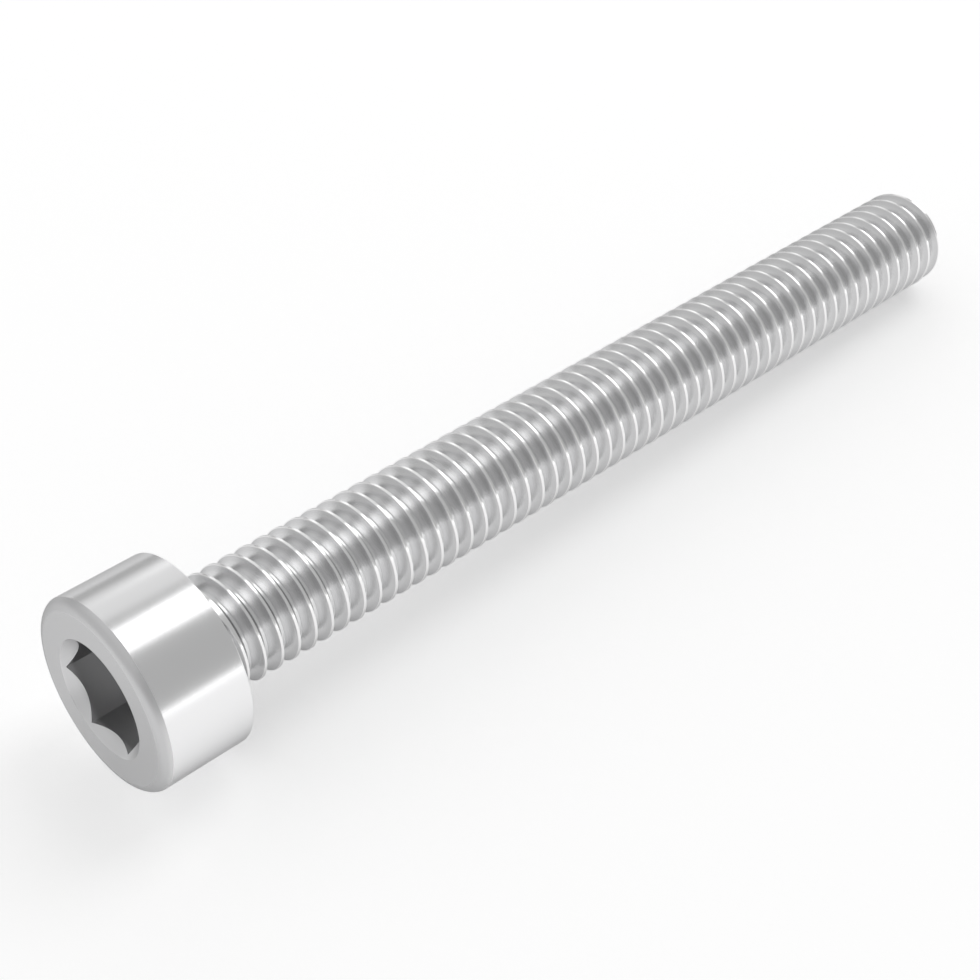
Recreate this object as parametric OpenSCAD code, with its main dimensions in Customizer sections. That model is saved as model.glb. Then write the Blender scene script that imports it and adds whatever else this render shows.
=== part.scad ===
// Socket head cap screw, threaded along its whole shank, lying on its side as it comes to rest.
// It is forged and rolled from one wire, so the head, the shank and the thread are one solid.

/* [Head] */
// Diameter of the head
head_d = 9.9; // [9.6:0.1:10.4]
// Height of the head, from its face to its bearing face
head_h = 4.85; // [4.4:0.05:6]
// Radius round the edge of the face
face_edge_r = 0.5; // [0.3:0.05:0.6]
// Bevel round the rim of the bearing face
rim_bevel = 0.1; // [0.05:0.05:0.3]

/* [Socket] */
// Width of the hexagon socket across its flats
socket_s = 5; // [4.5:0.05:5.2]
// Depth of the flats below the face
socket_depth = 2.9; // [2.4:0.1:3.2]
// Diameter of the countersink at the mouth
mouth_d = 6.1; // [6:0.05:6.6]
// Angle of the countersink
mouth_angle = 90; // [80:5:120]
// Diameter of the cone in the floor of the socket
point_d = 4.4; // [3.6:0.1:4.4]
// Angle of the cone in the floor
point_angle = 120; // [110:2:140]
// How far the hexagon is turned about the screw's axis
socket_turn = 26.5; // [0:0.5:59.5]

/* [Shank] */
// Outer diameter of the thread
thread_d = 5.85; // [5.8:0.01:5.97]
// Length of the shank, from the bearing face to the tip
shank_l = 55; // [30:1:60]
// Radius of the fillet under the head
neck_r = 0.25; // [0.15:0.05:0.4]
// Height and width of the bevel at the tip
tip_bevel = 0.8; // [0.6:0.05:1.1]

/* [Thread] */
// Rise of the thread in one turn
pitch = 1; // [0.8:0.05:1.25]
// Plain length left between the neck fillet and the first cut of the thread
plain_l = 0; // [0:0.1:3]
// How far the thread is turned about the screw's axis
thread_turn = 70; // [0:1:359]

/* [Hidden] */
$fn = 96;

// Cuts run past the faces that they open by this much
past = 1;
head_r = head_d / 2;
thread_r = thread_d / 2;
screw_l = head_h + shank_l;
flat_r = head_r - face_edge_r;
tip_r = thread_r - tip_bevel;

// The rear rim of the head and the last full turn of the thread both touch the ground
rim_at = head_h - rim_bevel;
last_turn_at = screw_l - tip_bevel;
rest_tilt = atan((head_r - thread_r) / (last_turn_at - rim_at));
rest_z = rim_at * sin(rest_tilt) + head_r * cos(rest_tilt);

// Ends of the lying screw along the ground, measured from the centre of the face
near_x = face_edge_r * cos(rest_tilt) - flat_r * sin(rest_tilt) - face_edge_r;
far_x = screw_l * cos(rest_tilt) + tip_r * sin(rest_tilt);

// Flats of the metric profile on the crest and on the floor of the groove, and the groove's depth
crest_w = pitch / 8;
root_w = pitch / 6;
flank_angle = 30;
groove_depth = (pitch - crest_w - root_w) / 2 / tan(flank_angle);
root_r = thread_r - groove_depth;

// The groove is cut by a wedge that stands proud of the shank
proud = pitch / 20;
wedge_w = pitch - crest_w + 2 * proud * tan(flank_angle);
groove_start = head_h + neck_r + plain_l + wedge_w / 2;
steps_per_turn = 20;
groove_steps = ceil(steps_per_turn * ((screw_l - groove_start) / pitch + 1));

// In the first turn the wedge sinks from outside the shank to the groove's full depth
function drawn_out(i) = (groove_depth + proud / 2) * max(0, 1 - i / steps_per_turn);

// The four corners of the wedge at a step, from the floor of the groove round to its open side
function wedge_corners(i) =
    let (
        turn = thread_turn + 360 * i / steps_per_turn,
        at = groove_start + pitch * i / steps_per_turn,
        out = drawn_out(i)
    )
    [for (c = [[root_r, -root_w / 2], [root_r, root_w / 2],
               [thread_r + proud, wedge_w / 2], [thread_r + proud, -wedge_w / 2]])
        [(c[0] + out) * cos(turn), (c[0] + out) * sin(turn), at + c[1]]];

// A coiled wedge in the shape of the thread's groove, from under the head out past the tip
module groove_wedge() {
    corners = [for (i = [0:groove_steps]) each wedge_corners(i)];
    last = 4 * groove_steps;
    sides = [for (i = [0:groove_steps - 1], k = [0:3])
        let (a = 4 * i + k, b = 4 * i + (k + 1) % 4) each [[a, b + 4, b], [a, a + 4, b + 4]]];
    polyhedron(corners, concat([[0, 1, 2, 3]], sides, [[last + 3, last + 2, last + 1, last]]));
}

// Half section of the head and shank, with the face at y = 0 and the tip upwards
module half_section() {
    square([flat_r, head_h]);
    translate([0, face_edge_r]) square([head_r, rim_at - face_edge_r]);
    translate([flat_r, face_edge_r]) circle(face_edge_r);
    polygon([[0, rim_at], [head_r, rim_at], [head_r - rim_bevel, head_h], [0, head_h]]);
    square([thread_r, last_turn_at]);
    polygon([[0, last_turn_at], [thread_r, last_turn_at], [tip_r, screw_l], [0, screw_l]]);
    difference() {
        square([thread_r + neck_r, head_h + neck_r]);
        translate([thread_r + neck_r, head_h + neck_r]) circle(neck_r);
    }
}

// The hexagon, its countersunk mouth and the cone that the punch leaves in the floor
module socket() {
    mouth_r = mouth_d / 2;
    mouth_slope = tan(mouth_angle / 2);
    mouth_l = mouth_r / mouth_slope;
    point_r = point_d / 2;
    point_l = point_r / tan(point_angle / 2);
    rotate([0, 0, socket_turn]) {
        translate([0, 0, -past]) cylinder(h = socket_depth + past, d = socket_s / cos(30), $fn = 6);
    }
    translate([0, 0, -past]) {
        cylinder(h = mouth_l + past, r1 = mouth_r + past * mouth_slope, r2 = 0);
    }
    translate([0, 0, socket_depth]) cylinder(h = point_l, r1 = point_r, r2 = 0);
}

module screw() {
    color("silver")
    translate([-(near_x + far_x) / 2, 0, rest_z])
    rotate([0, 90 + rest_tilt, 0]) rotate([0, 0, 180])
    difference() {
        rotate_extrude() half_section();
        socket();
        groove_wedge();
    }
}

screw();
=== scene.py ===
import math

import bmesh
import bpy
from mathutils import Euler, Matrix, Vector


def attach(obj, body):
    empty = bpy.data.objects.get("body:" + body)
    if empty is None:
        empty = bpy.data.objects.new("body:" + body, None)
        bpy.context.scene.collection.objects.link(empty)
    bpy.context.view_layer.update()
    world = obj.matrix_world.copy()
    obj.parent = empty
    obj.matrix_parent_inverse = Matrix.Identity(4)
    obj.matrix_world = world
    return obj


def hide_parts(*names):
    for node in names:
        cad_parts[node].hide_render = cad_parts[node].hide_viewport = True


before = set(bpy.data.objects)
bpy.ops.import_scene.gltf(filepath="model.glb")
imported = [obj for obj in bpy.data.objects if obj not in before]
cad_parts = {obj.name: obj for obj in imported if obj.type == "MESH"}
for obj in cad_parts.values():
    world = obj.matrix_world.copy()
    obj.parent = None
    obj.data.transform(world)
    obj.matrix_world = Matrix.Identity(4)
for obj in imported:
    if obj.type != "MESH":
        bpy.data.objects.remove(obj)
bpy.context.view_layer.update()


# The camera stands close in front of the head, to its left, and looks down
# along the screw. It has no roll and no shift, so the screw's slant across
# the picture comes from the view alone.
camera_data = bpy.data.cameras.new("camera")
camera_data.lens = 68.415
camera_data.sensor_width = 36
camera_data.clip_start = 0.002
camera_data.clip_end = 50
camera = bpy.data.objects.new("camera", camera_data)
camera.location = (-0.056308, -0.053074, 0.066515)
camera.rotation_euler = Euler((math.radians(49.145), 0, math.radians(-43.588)))
bpy.context.scene.collection.objects.link(camera)
bpy.context.scene.camera = camera
bpy.context.scene.view_settings.view_transform = "Standard"


# The blank is headed cold from steel wire. The punch rounds the edge of the
# face, the die leaves the rear rim almost sharp, and a fillet joins the head
# to the shank, whose end is bevelled before the thread is rolled.
HEAD_R, HEAD_H = 4.95, 4.85
EDGE_W, EDGE_H, RIM_R, NECK_R = 0.6, 0.45, 0.05, 0.15
THREAD_R, SHANK_L, TIP_BEVEL = 2.925, 55, 0.8
SCREW_L = HEAD_H + SHANK_L
LAST_TURN_AT = SCREW_L - TIP_BEVEL
ROUND_STEPS, BEND_STEPS = 96, 10
# Points of the cutting shapes and blanks that lie closer than this are one.
TOUCHING = 1e-4


def arc(centre, radius, first, last, steps=BEND_STEPS):
    """Points of an arc in the plane of the axis, as (radius, height), between two angles."""
    turns = [math.radians(first + (last - first) * i / steps) for i in range(steps + 1)]
    return [(centre[0] + radius * math.cos(t), centre[1] + radius * math.sin(t)) for t in turns]


def chain(bm, points, closed=False):
    """Vertices at (radius, height), joined by edges."""
    verts = [bm.verts.new((r, 0, h)) for r, h in points]
    ends = list(zip(verts, verts[1:])) + ([(verts[-1], verts[0])] if closed else [])
    return verts + [bm.edges.new(pair) for pair in ends]


def turned(name, points):
    """A closed body turned about the axis from its half section."""
    bm = bmesh.new()
    section = chain(bm, points)
    bmesh.ops.spin(bm, geom=section, cent=(0, 0, 0), axis=(0, 0, 1), dvec=(0, 0, 0),
                   angle=math.tau, steps=ROUND_STEPS, use_merge=True)
    bmesh.ops.remove_doubles(bm, verts=bm.verts, dist=TOUCHING)
    bmesh.ops.recalc_face_normals(bm, faces=bm.faces)
    return as_object(name, bm)


def as_object(name, bm):
    """A new object that holds the finished mesh."""
    mesh = bpy.data.meshes.new(name)
    bm.to_mesh(mesh)
    bm.free()
    made = bpy.data.objects.new(name, mesh)
    bpy.context.scene.collection.objects.link(made)
    return made


# The edge is an arc that leaves the face smoothly and meets the side in a
# crisp line. A narrow strip beside each bend keeps its shading off the flat.
strip = 0.03
flat_r = HEAD_R - EDGE_W
edge_r = (EDGE_W ** 2 + EDGE_H ** 2) / (2 * EDGE_H)
edge_end = math.degrees(math.asin(EDGE_H / edge_r - 1))
neck_out = THREAD_R + NECK_R
screw = turned("screw_steel", [
    (0, 0), (flat_r - strip, 0),
    *arc((flat_r, edge_r), edge_r, -90, edge_end),
    (HEAD_R, EDGE_H + strip), (HEAD_R, HEAD_H - RIM_R - strip / 2),
    *arc((HEAD_R - RIM_R, HEAD_H - RIM_R), RIM_R, 0, 90),
    (HEAD_R - RIM_R - strip / 2, HEAD_H), (neck_out + strip, HEAD_H),
    *arc((neck_out, HEAD_H + NECK_R), NECK_R, 270, 180),
    (THREAD_R, HEAD_H + NECK_R + strip),
    (THREAD_R, LAST_TURN_AT), (THREAD_R - TIP_BEVEL, SCREW_L), (0, SCREW_L),
])


# The thread is rolled: a right-hand metric groove with flanks at 60 degrees, a
# rounded floor and slightly broken crests. It starts right under the head, is at
# full depth after a sixth of a turn, and runs out through the bevel at the tip.
PITCH, THREAD_TURN = 1.0, 358
GROOVE_START = HEAD_H + 0.516
SINKING_STEPS = ROUND_STEPS // 6
FLANK_SLOPE = math.tan(math.radians(30))
CREST_W, ROOT_W = PITCH / 8, PITCH / 6
GROOVE_DEPTH = (PITCH - CREST_W - ROOT_W) / 2 / FLANK_SLOPE
ROOT_R = THREAD_R - GROOVE_DEPTH
root_corner_r, crest_break = 0.04, 0.008
corner_steps = 2
# The wedge that cuts the groove stands proud of the shank by this much.
proud = 0.03


def groove_half_w(radius):
    """Half the groove's width at a distance from the axis."""
    return ROOT_W / 2 + (radius - ROOT_R) * FLANK_SLOPE


break_w = groove_half_w(THREAD_R - crest_break)
open_w = break_w + crest_break + proud
corner_at = ROOT_W / 2 - root_corner_r * FLANK_SLOPE
bm = bmesh.new()
section = chain(bm, [
    (THREAD_R + proud, -open_w), (THREAD_R - crest_break, -break_w),
    *arc((ROOT_R + root_corner_r, -corner_at), root_corner_r, 240, 180, corner_steps),
    *arc((ROOT_R + root_corner_r, corner_at), root_corner_r, 180, 120, corner_steps),
    (THREAD_R - crest_break, break_w), (THREAD_R + proud, open_w),
], closed=True)
bmesh.ops.rotate(bm, verts=bm.verts, cent=(0, 0, 0),
                 matrix=Matrix.Rotation(math.radians(THREAD_TURN), 3, "Z"))
bmesh.ops.translate(bm, verts=bm.verts, vec=(0, 0, GROOVE_START))
ring = len(bm.verts)
bmesh.ops.spin(bm, geom=section, cent=(0, 0, 0), axis=(0, 0, 1), angle=math.tau,
               dvec=(0, 0, PITCH / ROUND_STEPS), steps=ROUND_STEPS)
one_turn = bm.verts[:] + bm.edges[:] + bm.faces[:]
for i in range(1, math.ceil((SCREW_L - GROOVE_START) / PITCH + 1)):
    copy = bmesh.ops.duplicate(bm, geom=one_turn)
    bmesh.ops.translate(bm, vec=(0, 0, PITCH * i),
                        verts=[v for v in copy["geom"] if isinstance(v, bmesh.types.BMVert)])
# The wedge begins outside the shank and sinks to the groove's full depth.
for i, vert in enumerate(one_turn[:ring * SINKING_STEPS]):
    out = (GROOVE_DEPTH + proud / 2) * (1 - (i // ring) / SINKING_STEPS)
    vert.co.xy *= 1 + out / vert.co.xy.length
bmesh.ops.remove_doubles(bm, verts=bm.verts, dist=TOUCHING)
bmesh.ops.holes_fill(bm, edges=[e for e in bm.edges if e.is_boundary], sides=0)
bmesh.ops.recalc_face_normals(bm, faces=bm.faces)
groove = as_object("groove_cut", bm)


# The socket is punched: six flats for a 5 mm key, a countersunk mouth, and
# the shallow cone that the punch leaves in the floor.
SOCKET_S, SOCKET_DEPTH, SOCKET_TURN = 5.0, 2.9, 26.56
MOUTH_R, POINT_R, POINT_SLOPE = 3.05, 2.2, math.tan(math.radians(60))
# The cutting shapes start this far outside the face, or above the floor.
past, overlap = 1, 0.05

bm = bmesh.new()
bmesh.ops.create_circle(bm, cap_ends=True, segments=6,
                        radius=SOCKET_S / 2 / math.cos(math.radians(30)))
corner = math.degrees(math.atan2(bm.verts[:][0].co.y, bm.verts[:][0].co.x))
bmesh.ops.rotate(bm, verts=bm.verts, cent=(0, 0, 0),
                 matrix=Matrix.Rotation(math.radians(SOCKET_TURN - corner), 3, "Z"))
bmesh.ops.translate(bm, verts=bm.verts, vec=(0, 0, -past))
wall = bmesh.ops.extrude_face_region(bm, geom=bm.faces[:])
bmesh.ops.translate(bm, vec=(0, 0, past + SOCKET_DEPTH),
                    verts=[v for v in wall["geom"] if isinstance(v, bmesh.types.BMVert)])
bmesh.ops.recalc_face_normals(bm, faces=bm.faces)
flats = as_object("socket_flats_cut", bm)
mouth = turned("socket_mouth_cut", [(0, -past), (MOUTH_R + past, -past), (0, MOUTH_R)])
point = turned("socket_point_cut", [
    (0, SOCKET_DEPTH - overlap), (POINT_R, SOCKET_DEPTH - overlap),
    (POINT_R, SOCKET_DEPTH), (0, SOCKET_DEPTH + POINT_R / POINT_SLOPE),
])


def cut(body, tools):
    """Takes the tools' shapes out of the body's mesh, and the tools away."""
    for tool in tools:
        step = body.modifiers.new(tool.name, "BOOLEAN")
        step.operation, step.solver, step.object = "DIFFERENCE", "MANIFOLD", tool
    depsgraph = bpy.context.evaluated_depsgraph_get()
    mesh = bpy.data.meshes.new_from_object(body.evaluated_get(depsgraph))
    body.modifiers.clear()
    body.data = mesh
    for tool in tools:
        bpy.data.objects.remove(tool)


cut(screw, [groove, flats, mouth, point])

# The finished screw lies on its side, on the rear rim of its head and on the
# last turn of its thread, so its axis leans a little towards the tip. The plain
# solid's edge and rim give the place, so that the two lie alike.
PLAIN_EDGE, PLAIN_RIM = 0.5, 0.1
MILLIMETRE = 0.001
rim_at = HEAD_H - PLAIN_RIM
rest_tilt = math.atan((HEAD_R - THREAD_R) / (LAST_TURN_AT - rim_at))
rest_z = rim_at * math.sin(rest_tilt) + HEAD_R * math.cos(rest_tilt)
near_x = (PLAIN_EDGE * math.cos(rest_tilt) - PLAIN_EDGE
          - (HEAD_R - PLAIN_EDGE) * math.sin(rest_tilt))
far_x = SCREW_L * math.cos(rest_tilt) + (THREAD_R - TIP_BEVEL) * math.sin(rest_tilt)
placed = (Matrix.Scale(MILLIMETRE, 4)
          @ Matrix.Translation((-(near_x + far_x) / 2, 0, rest_z))
          @ Matrix.Rotation(math.radians(90) + rest_tilt, 4, "Y")
          @ Matrix.Rotation(math.pi, 4, "Z"))

# Slivers that the cuts leave are closed, and only true bends are shaded round.
sliver, crease = 1e-3, math.radians(10)
bm = bmesh.new()
bm.from_mesh(screw.data)
bmesh.ops.remove_doubles(bm, verts=bm.verts, dist=sliver)
bmesh.ops.dissolve_degenerate(bm, edges=bm.edges, dist=sliver)
bmesh.ops.recalc_face_normals(bm, faces=bm.faces)
for face in bm.faces:
    face.smooth = True
for edge in bm.edges:
    edge.smooth = edge.calc_face_angle(math.pi) < crease
bmesh.ops.transform(bm, matrix=placed, verts=bm.verts)
bm.to_mesh(screw.data)
bm.free()


# The steel is bright and bare. Its base colour is painted lighter or darker part
# by part, as light and shade: painted highlights on the head's side, the crests
# and the groove's floor, painted shade on the face, its edge, the flanks and the
# socket. Rolling burnishes the crests, and the die leaves the head's side
# smoother than its face and edge.
class Field:
    """A socket of a node tree. Sums written on it add the nodes that work them out."""

    def __init__(self, tree, socket=None):
        self.tree, self.socket = tree, socket

    def node(self, kind, settings={}, inputs={}, out=0):
        """A new node with its settings, then the values or links of its sockets."""
        made = self.tree.nodes.new("ShaderNode" + kind)
        for name, value in settings.items():
            setattr(made, name, value)
        for name, value in inputs.items():
            self.feed(made.inputs[name], value)
        return Field(self.tree, made.outputs[out])

    def feed(self, socket, value):
        if isinstance(value, Field):
            self.tree.links.new(value.socket, socket)
        else:
            socket.default_value = value

    def outputs(self, *names):
        """Several outputs of the node that this one comes from."""
        return [Field(self.tree, self.socket.node.outputs[name]) for name in names]

    def math(self, operation, *values):
        return self.node("Math", {"operation": operation}, dict(enumerate(values)))

    def __add__(self, other):
        return self.math("ADD", self, other)

    def __sub__(self, other):
        return self.math("SUBTRACT", self, other)

    def __rsub__(self, other):
        return self.math("SUBTRACT", other, self)

    def __mul__(self, other):
        return self.math("MULTIPLY", self, other)

    __radd__, __rmul__ = __add__, __mul__

    def rise(self, low, high):
        """0 below low and 1 above high, with a smooth change between."""
        return self.node("MapRange", {"interpolation_type": "SMOOTHSTEP"},
                         {"Value": self, "From Min": low, "From Max": high})

    def blend(self, first, second):
        """The first colour where this is 0, the second where it is 1."""
        return self.node("Mix", {"data_type": "RGBA"}, {0: self, 6: first, 7: second}, out=2)


# Lit and shaded copies of one steel: the lighter tones are painted highlights, the darker ones
# painted shade.
SIDE_TONE, FACE_TONE = (0.89, 0.89, 0.895, 1), (0.69, 0.69, 0.695, 1)
EDGE_TONE, SOCKET_SHADE_TONE = (0.62, 0.62, 0.625, 1), (0.57, 0.57, 0.575, 1)
FLANK_TONE, GROOVE_TONE = (0.65, 0.65, 0.655, 1), (0.82, 0.82, 0.825, 1)
CREST_TONE = (0.95, 0.95, 0.95, 1)

steel = bpy.data.materials.new("bright_steel")
steel.use_nodes = True
tree = Field(steel.node_tree)
shader = steel.node_tree.nodes["Principled BSDF"]
shader.inputs["Metallic"].default_value = 1
shader.inputs["Specular Tint"].default_value = (0.5, 0.5, 0.5, 1)

# Millimetres from the centre of the face: along the axis, and out from it.
place, turn, size = placed.inverted().decompose()
own = tree.node("Mapping", {}, {"Vector": tree.node("TexCoord", out="Object"),
                                "Location": place, "Rotation": turn.to_euler(), "Scale": size})
across, sideways, along = tree.node("SeparateXYZ", {}, {"Vector": own}).outputs("X", "Y", "Z")
radius = tree.math("SQRT", across * across + sideways * sideways)

# Each of these is 1 on one part of the surface and 0 on the rest.
on_side = radius.rise(HEAD_R - 0.1, HEAD_R - 0.01) * along.rise(EDGE_H - 0.03, EDGE_H + 0.01)
on_edge = (radius.rise(flat_r, flat_r + 0.2) * (1 - on_side)
           * (1 - along.rise(EDGE_H, EDGE_H + 0.1)))
on_bend = on_edge * (1 - radius.rise(HEAD_R - 0.15, HEAD_R))
on_shank = along.rise(HEAD_H + 0.05, HEAD_H + 0.2)
on_crest = radius.rise(THREAD_R - 0.05, THREAD_R - 0.01) * on_shank
on_mouth = (1 - along.rise(0.4, 0.6)) * (1 - radius.rise(MOUTH_R - 0.05, MOUTH_R + 0.01))
in_socket = (along.rise(0.3, 0.7) * (1 - radius.rise(MOUTH_R - 0.15, MOUTH_R - 0.05))
             * (1 - along.rise(HEAD_H - 0.2, HEAD_H - 0.1)))
in_groove = 1 - radius.rise(ROOT_R + 0.1, THREAD_R - 0.1)

# Soft patches, and the fine rings that the die and the rolls leave.
rings_per_mm = 14
grain = tree.node("TexNoise", {}, {"Vector": own, "Scale": 1.3, "Detail": 4.0})
rings_at = tree.node("CombineXYZ", {}, {0: radius * rings_per_mm, 2: along * rings_per_mm})
rings = tree.node("TexNoise", {}, {"Vector": rings_at, "Scale": 1.0, "Detail": 3.0})

# Painted highlight on the head's side, painted shade on its face and rounded edge.
tone = on_side.blend(on_bend.blend(FACE_TONE, EDGE_TONE), SIDE_TONE)
# Painted highlights on the crests and the groove's floor, painted shade on the flanks.
tone = on_shank.blend(tone, in_groove.blend(FLANK_TONE, GROOVE_TONE))
tone = on_crest.blend(tone, CREST_TONE)
# Painted shade: the socket's walls and floor are painted darker, as shade in the recess.
tone = in_socket.blend(tone, SOCKET_SHADE_TONE)
tree.feed(shader.inputs["Base Color"], tone)

roughness = (0.24 - 0.01 * on_side + 0.16 * on_edge + 0.2 * on_mouth + 0.1 * in_socket
             + 0.02 * on_shank - 0.04 * on_crest)
tree.feed(shader.inputs["Roughness"], roughness + 0.04 * (grain - 0.5) + 0.04 * (rings - 0.5))
tree.feed(shader.inputs["Normal"], tree.node("Bump", {}, {
    "Strength": 0.06, "Distance": 0.00002, "Height": rings}))

screw.data.materials.clear()
screw.data.materials.append(steel)
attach(screw, "root")
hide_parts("screw")


# The floor is a plain pale sheet that takes the screw's soft shadow. A little
# light of its own brings it to white for the camera and for the reflections.
FLOOR_HALF_W, FLOOR_LIFT = 20, 0.33
bm = bmesh.new()
bmesh.ops.create_grid(bm, x_segments=1, y_segments=1, size=FLOOR_HALF_W)
floor = as_object("floor", bm)
paint = bpy.data.materials.new("pale_floor")
paint.use_nodes = True
sheet = paint.node_tree.nodes["Principled BSDF"]
sheet.inputs["Base Color"].default_value = (0.93, 0.93, 0.93, 1)
sheet.inputs["Roughness"].default_value = 1
sheet.inputs["Specular IOR Level"].default_value = 0
sheet.inputs["Emission Color"].default_value = (1, 1, 1, 1)
tree = Field(paint.node_tree)
by_camera, by_metal, by_glass = tree.node("LightPath").outputs(
    "Is Camera Ray", "Is Glossy Ray", "Is Transmission Ray")
seen = tree.math("MINIMUM", by_camera + by_metal + by_glass, 1)
tree.feed(sheet.inputs["Emission Strength"], seen * FLOOR_LIFT)
floor.data.materials.append(paint)


# One soft box hangs over the tip, a wide weak one over the head, two more stand
# behind the screw, and a low narrow strip in front of it lights the undersides
# of the crests. The pale room fills in the rest.
def soft_box(name, direction, distance, size, level):
    """A lamp in metres that faces the screw. At level 1 its own face is white."""
    data = bpy.data.lights.new(name, "AREA")
    data.shape = "RECTANGLE"
    data.size, data.size_y = size
    data.energy = level * math.pi * size[0] * size[1]
    lamp = bpy.data.objects.new(name, data)
    towards = Vector(direction).normalized()
    lamp.location = towards * distance
    lamp.rotation_euler = towards.to_track_quat("Z", "Y").to_euler()
    bpy.context.scene.collection.objects.link(lamp)


soft_box("overhead", (0.6, 0.0, 0.8), 0.7, (0.36, 0.5), 1.4)
soft_box("fill", (-0.62, 0.3, 0.72), 0.8, (1.6, 1.3), 0.28)
soft_box("back", (0.36, 0.7, 0.58), 0.8, (0.7, 0.56), 0.32)
soft_box("back_tip", (0.66, 0.68, 0.32), 0.8, (0.5, 0.36), 0.5)
soft_box("low_front", (0.45, -0.89, 0.03), 0.6, (0.6, 0.036), 1.7)

world = bpy.data.worlds.new("studio")
world.use_nodes = True
world.node_tree.nodes["Background"].inputs["Color"].default_value = (1, 1, 1, 1)
world.node_tree.nodes["Background"].inputs["Strength"].default_value = 0.45
bpy.context.scene.world = world
